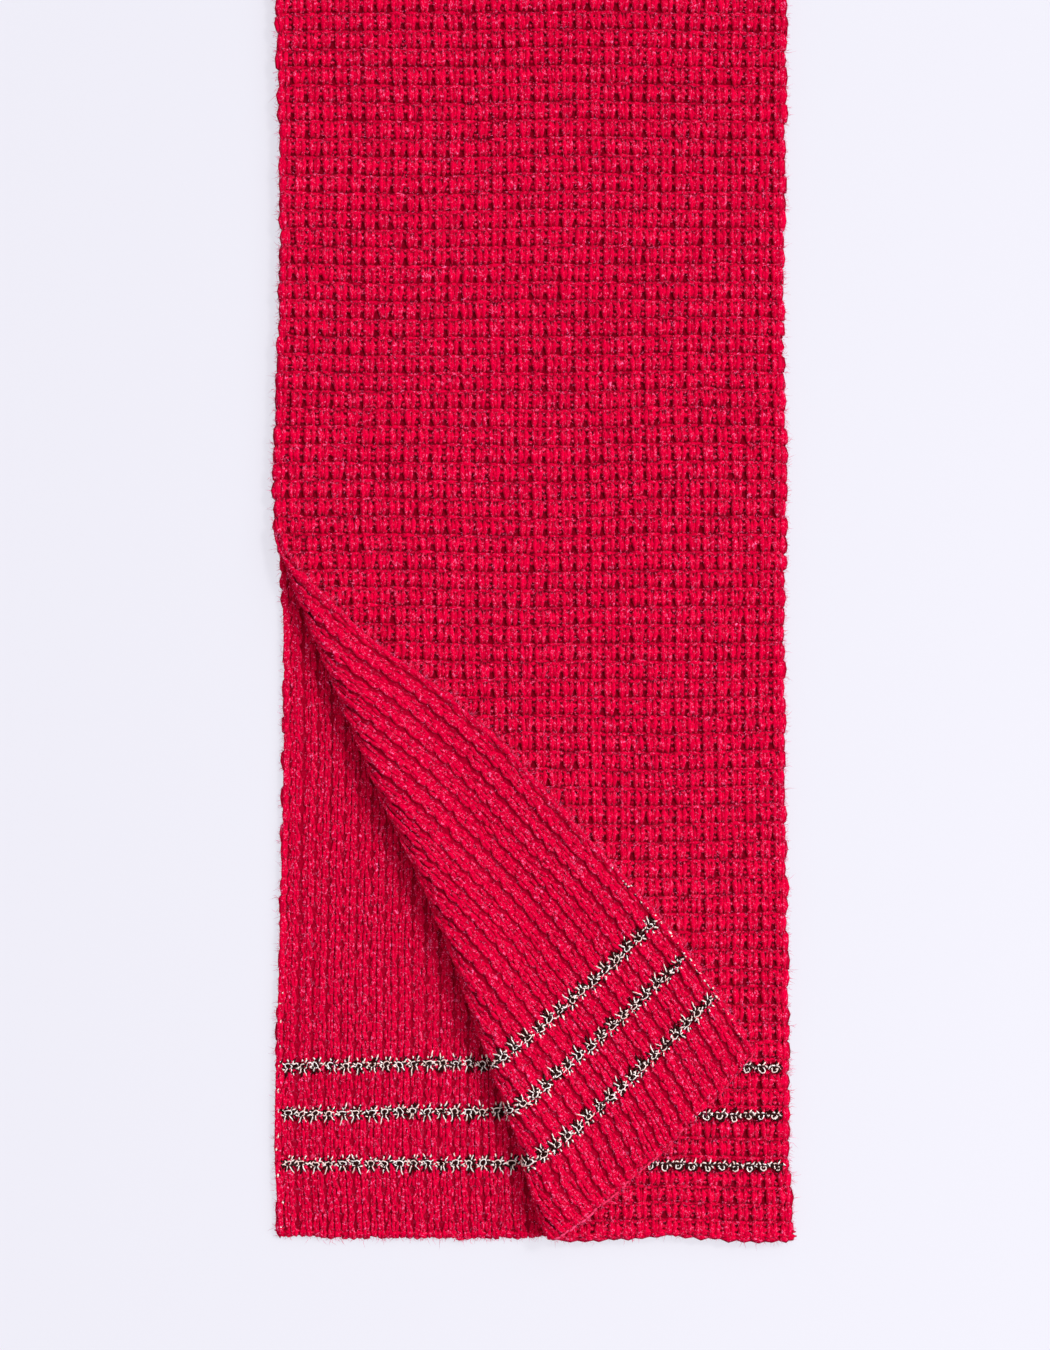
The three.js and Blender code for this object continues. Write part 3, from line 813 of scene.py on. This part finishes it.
def metal_rows(name, rng, laying, shown, is_reverse, legs_up, fullness, lots):
    """Metallic rows where they show on one layer: light film strands, a dark strand a little aside and
    below each as painted shadow, dark strands under them that are partly black filament and partly
    painted shade, and floats of the same yarn up a selvedge, each with a dark twin aside as painted
    shadow. fullness is how thick the dark ones are."""
    batch = StrandBatch(rng)
    side = -1.0 if is_reverse else 1.0
    light, dark = (REVERSE_LIGHT, REVERSE_DARK_AND_SHADE) if is_reverse else (FACE_LIGHT, FACE_DARK_AND_SHADE)
    u, v = np.concatenate([metal_units(level) for level, _ in METAL_ROWS], axis=1)
    seen = shown(u, v)
    u, v = u[seen], v[seen]
    count = len(u)
    centres = xyz(u + rng.normal(0, 0.25, count), v + rng.normal(0, 0.25, count), METAL_LIFT)
    flip = -1.0 if legs_up else 1.0
    lean = rng.choice([-1.0, 1.0], count, p=[LEANS_LEFT, 1 - LEANS_LEFT])
    # Each light strand gets a dark twin a little aside and below it: painted shadow.
    shadows = [([(x + 0.45, y - 0.3, z - 0.25) for x, y, z in path], 0.5) for path, _ in light]
    for templates, kind in ((light, 0.0), (shadows, 1.0), (dark, 1.0)):
        for path, radius in templates:
            swell = [rng.normal(1, size, count) for size in (0.1, 0.16, 0.1)]
            scales = xyz(lean * swell[0], flip * swell[1], swell[2])
            turn = rng.normal(0, 0.12, (count, 1))
            path = rounded(path) if kind == 0 else np.array(path, float)
            paths = place(path, centres * 0, scales, 0.12, rng)
            paths[..., 0] += paths[..., 1] * turn + rng.normal(0, 0.2, (count, 1))
            paths[..., 1] += paths[..., 0] * rng.normal(0, 0.15, (count, 1)) * (kind == 0)
            paths += centres[:, None]
            paths[..., 2] *= side
            radii = np.full(len(path), radius * (fullness if kind else 1))
            radii[[0, -1]] = 0
            batch.add(paths, radii, sides=4, kind=kind)
    for floats, radius in lots:
        # Each float gets a dark twin half a millimetre aside: painted shadow.
        for kind, shift in ((0.0, 0.0), (1.0, 0.5)):
            reach = rng.uniform(0.5, 1.5, (len(floats), 1))
            base = floats + rng.normal(0, 0.15, floats.shape)
            base[:, 0] += shift
            base[:, 2] *= side
            way = FLOAT_WAY + rng.normal(0, 0.3, floats.shape)
            paths = np.stack([base - way * reach, base, base + way * reach], axis=1)
            paths[:, 1, 2] += 0.3 * side * (1 - kind)
            batch.add(paths, np.array([0, radius, 0]), sides=4, kind=kind)
    return batch.build(name, laying)


def selvedge_floats(rng, first, last, pitch, inset):
    """Short floats of metallic yarn up the left selvedge, in a thick and a thin lot,
    between two levels above the hem. They come and go."""
    lots = []
    for radius in (0.55, 0.38):
        v = HEM_Y + np.arange(first, last, pitch * 2) + rng.uniform(0, pitch * 2)
        v = v + rng.normal(0, pitch * 0.5, len(v))
        v = v[rng.random(len(v)) < 0.8]
        u = side_at("left", v) + inset + rng.normal(0, 0.3, len(v))
        lots.append((xyz(u, v, FLOAT_LIFT), radius))
    return lots


def finish_piece(obj, material, slot, *replaced):
    """Gives a piece its finish and its body, and hides the solids that it stands for."""
    obj.data.materials.clear()
    obj.data.materials.append(material)
    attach(obj, BODY)
    if replaced:
        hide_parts(*replaced)


def new_material(name):
    """A new material, its node tree and its shader."""
    material = bpy.data.materials.new(name)
    material.use_nodes = True
    return material, material.node_tree, material.node_tree.nodes["Principled BSDF"]


def set_inputs(node, values):
    for key, value in values.items():
        node.inputs[key].default_value = value


def ramp(tree, value, ends):
    """A value moved from one range to another, each of them 0 to 1 where ends doesn't say."""
    node = tree.nodes.new("ShaderNodeMapRange")
    set_inputs(node, ends)
    tree.links.new(value, node.inputs["Value"])
    return node.outputs["Result"]


def stored(tree, key):
    """A value that the piece's own points carry."""
    node = tree.nodes.new("ShaderNodeAttribute")
    node.attribute_name = key
    return node.outputs["Fac"]


def mix_colour(tree, factor, first, second):
    """A colour between two others, each a socket or a plain colour."""
    node = tree.nodes.new("ShaderNodeMix")
    node.data_type = "RGBA"
    tree.links.new(factor, node.inputs[0])
    for socket, colour in ((node.inputs[6], first), (node.inputs[7], second)):
        if isinstance(colour, bpy.types.NodeSocket):
            tree.links.new(colour, socket)
        else:
            socket.default_value = (*colour, 1)
    return node.outputs[2]


def fibre_group():
    """Node group: the fibres of a brushed yarn, as random masks of its light ones, which are partly
    painted highlight, and its dark ones, which are painted shade between the fibres.
    """
    group = bpy.data.node_groups.new("yarn_fibres", "ShaderNodeTree")
    group.interface.new_socket("Scale", in_out="INPUT", socket_type="NodeSocketFloat")
    for output in ("Light", "Dark", "Height"):
        group.interface.new_socket(output, in_out="OUTPUT", socket_type="NodeSocketFloat")
    nodes, links = group.nodes, group.links
    entry = nodes.new("NodeGroupInput")
    leave = nodes.new("NodeGroupOutput")
    spot = nodes.new("ShaderNodeTexCoord")
    fine = nodes.new("ShaderNodeTexNoise")
    set_inputs(fine, {"Detail": 3, "Roughness": 0.6, "Distortion": 1.2})
    links.new(spot.outputs["Object"], fine.inputs["Vector"])
    links.new(entry.outputs["Scale"], fine.inputs["Scale"])
    # Light is paler fibre tips, partly painted highlight; Dark is painted shade between the fibres.
    for output, low, high in (("Light", 0.6, 0.665), ("Dark", 0.46, 0.34)):
        mask = ramp(group, fine.outputs["Fac"], {"From Min": low, "From Max": high})
        links.new(mask, leave.inputs[output])
    links.new(fine.outputs["Fac"], leave.inputs["Height"])
    return group


def knit_material(looks):
    """Brushed wool yarn: crimson, with random paler fibre tips that are partly painted highlight,
    random dark flecks of painted shade between the fibres, and painted shade in the hollows, darker
    the nearer a point lies to the cloth's middle.
    """
    material, tree, shader = new_material("brushed_wool")
    set_inputs(shader, {
        "Roughness": 0.9, "Specular IOR Level": 0.0, "Sheen Weight": looks.sheen,
        "Sheen Roughness": 0.45, "Sheen Tint": (*looks.sheen_tint, 1),
    })
    fibres = tree.nodes.new("ShaderNodeGroup")
    fibres.node_tree = fibre_group()
    set_inputs(fibres, {"Scale": looks.fibre_scale})
    tone = stored(tree, "tone")
    # Painted shade: the nearer a point lies to the cloth's middle, the more it takes the painted shade
    # colour instead of the yarn's.
    unshaded_share = ramp(tree, stored(tree, "lift"), {"From Min": 0.05, "From Max": 0.5})
    # Random tone between the deep and main colours; on the rib's sunk wales it runs lower, as painted
    # shade.
    body = mix_colour(tree, tone, looks.knit_deep_and_shade, looks.knit_main)
    # Random dark flecks take the painted shade colour, as painted shade between the fibres; random
    # paler tips are partly painted highlight.
    for output, strength, colour in (
        ("Dark", looks.fibre_shade_strength, looks.knit_painted_shade),
        ("Light", looks.tip_highlight_strength, looks.knit_tips_and_highlight),
    ):
        weight = tree.nodes.new("ShaderNodeMath")
        weight.operation = "MULTIPLY"
        weight.inputs[1].default_value = strength
        tree.links.new(fibres.outputs[output], weight.inputs[0])
        body = mix_colour(tree, weight.outputs[0], body, colour)
    yarn = mix_colour(tree, unshaded_share, looks.knit_painted_shade, body)
    # Loose fibres run from the main colour to the palest pink: partly their own paler colour, partly
    # painted highlight.
    pale_hair_and_highlight = mix_colour(tree, tone, looks.knit_main, looks.pale_hair_and_highlight)
    final = mix_colour(tree, stored(tree, "kind"), yarn, pale_hair_and_highlight)
    tree.links.new(final, shader.inputs["Base Color"])
    bump = tree.nodes.new("ShaderNodeBump")
    set_inputs(bump, {"Strength": 0.6, "Distance": 0.0005})
    tree.links.new(fibres.outputs["Height"], bump.inputs["Height"])
    tree.links.new(bump.outputs["Normal"], shader.inputs["Normal"])
    return material


def metal_material(looks):
    """Metallic yarn: pale film, warmer on some strands, over dark strands that are partly black
    filament and partly painted shade.
    """
    material, tree, shader = new_material("metallic_yarn")
    kind = stored(tree, "kind")
    film = mix_colour(tree, stored(tree, "tone"), looks.metal_gold, looks.metal_light)
    tree.links.new(mix_colour(tree, kind, film, looks.metal_dark_and_shade), shader.inputs["Base Color"])
    shine = ramp(tree, kind, {"To Min": looks.metal_shine, "To Max": 0.0})
    tree.links.new(shine, shader.inputs["Metallic"])
    set_inputs(shader, {"Specular IOR Level": 0.12, "Roughness": 0.3})
    return material


def colour_setting(name, description, default):
    return bpy.props.FloatVectorProperty(
        name=name, description=description, default=default, min=0, max=1, subtype="COLOR"
    )


def share_setting(name, description, default):
    return bpy.props.FloatProperty(
        name=name, description=description, default=default, min=0, max=1, subtype="FACTOR"
    )


def number_setting(name, description, default, low, high):
    return bpy.props.FloatProperty(
        name=name, description=description, default=default, min=low, max=high
    )


class ScarfLooks(bpy.types.PropertyGroup):
    """Colours and finish of the scarf's yarns, with the painted shade and painted highlight in them.
    """

    knit_main: colour_setting("Knit", "Colour of the knit yarn", (0.78, 0.0, 0.045))
    # Darker knit colour: random tone on all stitches, and painted shade on the rib's sunk wales.
    knit_deep_and_shade: colour_setting("Knit, deeper", "Colour of the deepest stitches", (0.62, 0.0, 0.034))
    # Painted shade colour, for the hollows and for the dark flecks between the fibres.
    knit_painted_shade: colour_setting("Hollows", "Colour down between the stitches", (0.16, 0.0, 0.006))
    # Paler fibre tips in a random pattern: partly the yarn's own paler fibres, partly painted
    # highlight.
    knit_tips_and_highlight: colour_setting("Fibre tips", "Colour of the yarn's fine fibres", (1.0, 0.19, 0.45))
    # Palest loose fibres: partly their own paler colour, partly painted highlight.
    pale_hair_and_highlight: colour_setting("Loose fibres", "Colour of the palest loose fibres", (1.0, 0.18, 0.44))
    # How much the paler tips show, partly painted highlight.
    tip_highlight_strength: share_setting("Tip strength", "How much the fibre tips show", 0.8)
    # Strength of the painted shade between the fibres, in random dark flecks.
    fibre_shade_strength: share_setting("Hollow strength", "How dark it is between the fibres", 0.49)
    fibre_scale: number_setting("Fibre scale", "Fineness of the fibres, per metre", 740, 10, 5000)
    sheen: share_setting("Sheen", "Soft light on the yarn's nap", 0.15)
    sheen_tint: colour_setting("Sheen tint", "Colour of the nap's soft light", (1.0, 0.1, 0.25))
    metal_light: colour_setting("Metallic film", "Colour of the palest film", (1.0, 0.93, 0.92))
    metal_gold: colour_setting("Warmer film", "Colour of the warmest film", (1.0, 0.74, 0.68))
    # Colour of the dark strands: partly black filament, partly painted shade and painted shadow.
    metal_dark_and_shade: colour_setting("Dark filament", "Colour under the film", (0.024, 0.002, 0.002))
    metal_shine: share_setting("Shine", "How metallic the film is", 0.25)


class ScarfStage(bpy.types.PropertyGroup):
    """Floor, light and camera."""

    floor: colour_setting("Floor", "Colour of the floor", (0.18, 0.178, 0.194))
    glow: colour_setting("Floor glow", "Light of the floor, as a light table", (0.645, 0.638, 0.7))
    brighter: number_setting("Brighter side", "Right side's glow beside the left", 1.045, 0.1, 4)
    fill: number_setting("Fill light", "Strength of the light from all round", 0.45, 0, 5)
    key: number_setting("Key light", "Strength of the upper right light", 1.4, 0, 50)
    soft: number_setting("Soft light", "Strength of the broad light overhead", 1.5, 0, 50)
    side: number_setting("Side light", "Strength of the panel at the right", 2.2, 0, 50)
    centre: bpy.props.FloatVectorProperty(
        name="View centre", description="What the camera looks straight down at", size=3,
        subtype="TRANSLATION", unit="LENGTH", default=(-0.0036, -0.1952, 0.007),
    )
    view_height: bpy.props.FloatProperty(
        name="View height", description="Height of the camera above it", default=1.691,
        min=0.1, max=10, subtype="DISTANCE", unit="LENGTH",
    )


class SCARF_OT_cloth(bpy.types.Operator):
    """Makes the thin cloth of both layers under the stitches"""

    bl_idname = "scarf.cloth"
    bl_label = "Cloth"

    def execute(self, context):
        wool = knit_material(context.scene.scarf_looks)
        first = HEM_Y + EDGE_INSET
        lower = shell(
            "lower_cloth", lay_lower, cells=(40, 60), lengths=((0, first), (1, BEND_LOWER_Y)),
            height=0.75, thickness=2.9, shade_lifts=(0.2, 0.1),
        )
        finish_piece(lower, wool, KNIT_SLOT, "lower_half")
        upper = shell(
            "upper_cloth", lay_upper, cells=(56, 150),
            lengths=((0, first), (0.8, BEND_UPPER_Y), (1, CLOTH_END_Y)),
            height=-0.4, thickness=0.6, shade_lifts=(0.08, 0.2),
        )
        finish_piece(upper, wool, KNIT_SLOT, "upper_half", "crosswise_fold", "turned_corner")
        return {"FINISHED"}


class SCARF_OT_waffle(bpy.types.Operator):
    """Knits the waffle face of the upper layer, stitch by stitch"""

    bl_idname = "scarf.waffle"
    bl_label = "Waffle face"

    def execute(self, context):
        wool = bpy.data.materials["brushed_wool"]
        rng = np.random.default_rng(11)
        cuts = (HEM_Y - 10, -100, 95, 290, CLOTH_END_Y - 20)
        for index, (first, last) in enumerate(zip(cuts, cuts[1:]), 1):
            obj = waffle_face(f"waffle_face_{index}", rng, first, last)
            finish_piece(obj, wool, KNIT_SLOT)
        return {"FINISHED"}


class SCARF_OT_rib(bpy.types.Operator):
    """Knits the ribbed reverse where it shows, on the lower layer and the turned corner"""

    bl_idname = "scarf.rib"
    bl_label = "Ribbed reverse"

    def execute(self, context):
        wool = bpy.data.materials["brushed_wool"]
        rng = np.random.default_rng(23)
        seen = {"lower": (lower_shown, lay_lower), "turned": (turned_shown, lay_upper)}
        for where, details in RIBS.items():
            obj = rib_face(f"{where}_rib", rng, *seen[where], **details)
            finish_piece(obj, wool, KNIT_SLOT)
        return {"FINISHED"}


class SCARF_OT_edges(bpy.types.Operator):
    """Makes the knobbly selvedges and the cast-on hems"""

    bl_idname = "scarf.edges"
    bl_label = "Edges"

    def execute(self, context):
        wool = bpy.data.materials["brushed_wool"]
        rng = np.random.default_rng(37)
        for where, laying, last_y, reach, has_highlight_rim in (
            ("lower", lay_lower, BEND_LOWER_Y, 0.7, False),
            ("upper", lay_upper, CLOTH_END_Y, 0.9, True),
        ):
            obj = edge_chain(f"{where}_edges", rng, laying, last_y, reach, has_highlight_rim)
            finish_piece(obj, wool, KNIT_SLOT)
        return {"FINISHED"}


class SCARF_OT_metal(bpy.types.Operator):
    """Works the rows of metallic yarn on every stretch that shows"""

    bl_idname = "scarf.metal"
    bl_label = "Metallic rows"

    def execute(self, context):
        metal = metal_material(context.scene.scarf_looks)
        rng = np.random.default_rng(53)
        floats = {
            "lower": selvedge_floats(rng, first=6, last=108, pitch=4.2, inset=2.0),
            "turned": selvedge_floats(rng, first=8, last=112, pitch=2.1, inset=1.5),
            "upper": [],
        }
        for where, laying, shown, is_reverse, legs_up, fullness in (
            ("lower", lay_lower, lower_shown, True, False, 1.0),
            ("turned", lay_upper, turned_shown, True, True, 1.15),
            ("upper", lay_upper, shown_upper, False, False, 1.15),
        ):
            obj = metal_rows(
                f"{where}_metal_rows", rng, laying, shown, is_reverse, legs_up, fullness, floats[where]
            )
            solids = [f"{where}_stripe_{name}" for name in ("top", "middle", "bottom")]
            finish_piece(obj, metal, METAL_SLOT, *solids)
        return {"FINISHED"}


def add_light(name, kind, energy, source):
    """Adds a light that shines from the side of source."""
    lamp = bpy.data.lights.new(name, kind)
    lamp.energy = energy
    light = add_object(name, lamp)
    light.rotation_euler = Vector(source).to_track_quat("Z", "Y").to_euler()
    return light


def glowing_floor(stage):
    """Pale floor that gives off a little light, and more of it towards the right."""
    material, tree, shader = new_material("pale_floor")
    set_inputs(shader, {
        "Base Color": (*stage.floor, 1), "Roughness": 0.95, "Specular IOR Level": 0.0,
        "Emission Color": (*stage.glow, 1),
    })
    spot = tree.nodes.new("ShaderNodeTexCoord")
    axes = tree.nodes.new("ShaderNodeSeparateXYZ")
    tree.links.new(spot.outputs["Object"], axes.inputs[0])
    ends = {"From Min": -0.22, "From Max": 0.22, "To Min": 1.0, "To Max": stage.brighter}
    glow = ramp(tree, axes.outputs["X"], ends)
    tree.links.new(glow, shader.inputs["Emission Strength"])
    return material


class SCARF_OT_stage(bpy.types.Operator):
    """Sets the pale floor, the soft light and the camera straight above"""

    bl_idname = "scarf.stage"
    bl_label = "Stage"

    def execute(self, context):
        stage = context.scene.scarf_stage
        bpy.ops.mesh.primitive_plane_add(size=12, location=(0, 0, -0.0001))
        floor = context.active_object
        floor.name = "floor"
        floor.data.materials.append(glowing_floor(stage))
        world = bpy.data.worlds.new("soft_room")
        world.use_nodes = True
        sky = world.node_tree.nodes["Background"]
        set_inputs(sky, {"Color": (0.97, 0.97, 1.0, 1), "Strength": stage.fill})
        context.scene.world = world
        for name, energy, spread, source, colour in (
            ("key", stage.key, 9, (0.65, 0.48, 1), (1.0, 0.985, 0.97)),
            ("soft", stage.soft, 75, (0.5, 0.4, 1), (0.985, 0.985, 1.0)),
        ):
            sun = add_light(name, "SUN", energy, source)
            sun.data.angle = math.radians(spread)
            sun.data.color = colour
        panel = add_light("side_panel", "AREA", stage.side, (0.75, -0.2, 0.75))
        panel.data.size = 0.5
        panel.location = (0.75, -0.5, 0.75)
        eye = add_object("camera", bpy.data.cameras.new("camera"))
        eye.data.lens = 100
        eye.data.sensor_width = 36
        x, y, z = stage.centre
        eye.location = (x, y, z + stage.view_height)
        context.scene.camera = eye
        context.scene.view_settings.view_transform = "Standard"
        return {"FINISHED"}


class SCARF_PT_panel(bpy.types.Panel):
    """Lists the scarf's pieces in the sidebar"""

    bl_label = "Knit Scarf"
    bl_idname = "SCARF_PT_panel"
    bl_space_type = "VIEW_3D"
    bl_region_type = "UI"
    bl_category = "Scarf"

    def draw(self, context):
        for operator in OPERATORS:
            self.layout.operator(operator.bl_idname)


OPERATORS = (
    SCARF_OT_cloth,
    SCARF_OT_waffle,
    SCARF_OT_rib,
    SCARF_OT_edges,
    SCARF_OT_metal,
    SCARF_OT_stage,
)
CLASSES = (ScarfLooks, ScarfStage, *OPERATORS, SCARF_PT_panel)


def register():
    for cls in CLASSES:
        bpy.utils.register_class(cls)
    bpy.types.Scene.scarf_looks = bpy.props.PointerProperty(type=ScarfLooks)
    bpy.types.Scene.scarf_stage = bpy.props.PointerProperty(type=ScarfStage)


def unregister():
    del bpy.types.Scene.scarf_stage
    del bpy.types.Scene.scarf_looks
    for cls in reversed(CLASSES):
        bpy.utils.unregister_class(cls)


def main():
    register()
    bpy.ops.scarf.cloth()
    bpy.ops.scarf.waffle()
    bpy.ops.scarf.rib()
    bpy.ops.scarf.edges()
    bpy.ops.scarf.metal()
    bpy.ops.scarf.stage()


if __name__ == "__main__":
    main()
